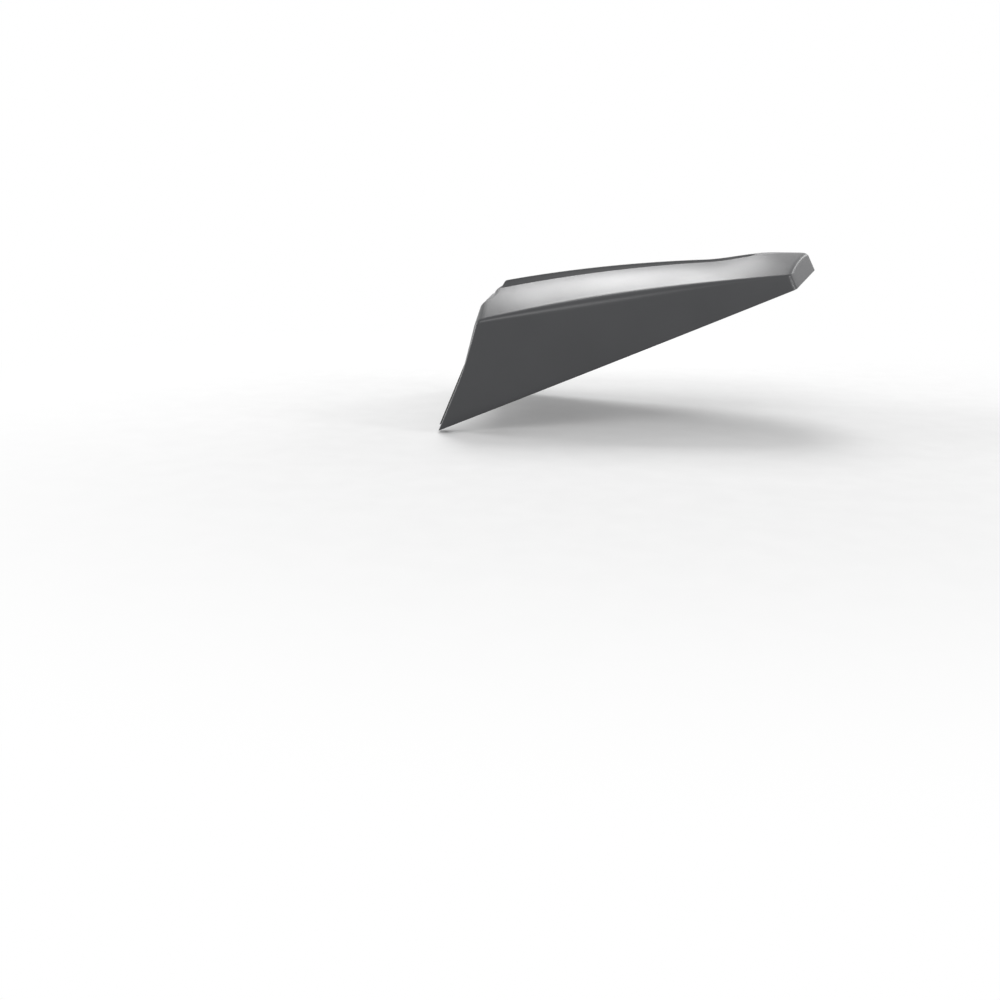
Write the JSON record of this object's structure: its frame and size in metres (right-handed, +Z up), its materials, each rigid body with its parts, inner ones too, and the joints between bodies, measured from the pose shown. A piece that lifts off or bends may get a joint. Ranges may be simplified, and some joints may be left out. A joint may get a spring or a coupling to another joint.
{
  "type": "motorcycle seat cowl",
  "caption": "Moulded cover that closes the passenger half of a motorcycle seat, with a sunk top channel, a blunt V-shaped tail, an arched front and bracket feet under the seat's base.",
  "frame": {"origin": "middle of the rear foot's hole, on the foot's upper face", "axes": "+X to the rear of the motorcycle, +Y to its right, +Z up, with the rim raked as it is when fitted"},
  "size_m": [0.3318, 0.2412, 0.1504],
  "materials": {
    "moulded_shell": "satin moulded grain",
    "edge_rubber": "matt extruded",
    "buffer_rubber": "matt",
    "coated_steel": "satin black coating",
    "fastener_steel": "zinc plated",
    "insert_brass": "turned"
  },
  "bodies": {
    "root": {"cowl_shell": "moulded_shell", "front_edge_trim": "edge_rubber", "front_rib_buffer": "buffer_rubber", "rear_rib_buffer": "buffer_rubber", "left_side_bracket": "coated_steel", "right_side_bracket": "coated_steel", "rear_bracket": "coated_steel", "left_foot_pad": "buffer_rubber", "right_foot_pad": "buffer_rubber", "rear_foot_pad": "buffer_rubber", "bracket_screws": "fastener_steel", "screw_washers": "fastener_steel", "threaded_inserts": "insert_brass"}
  },
  "joints": []
}
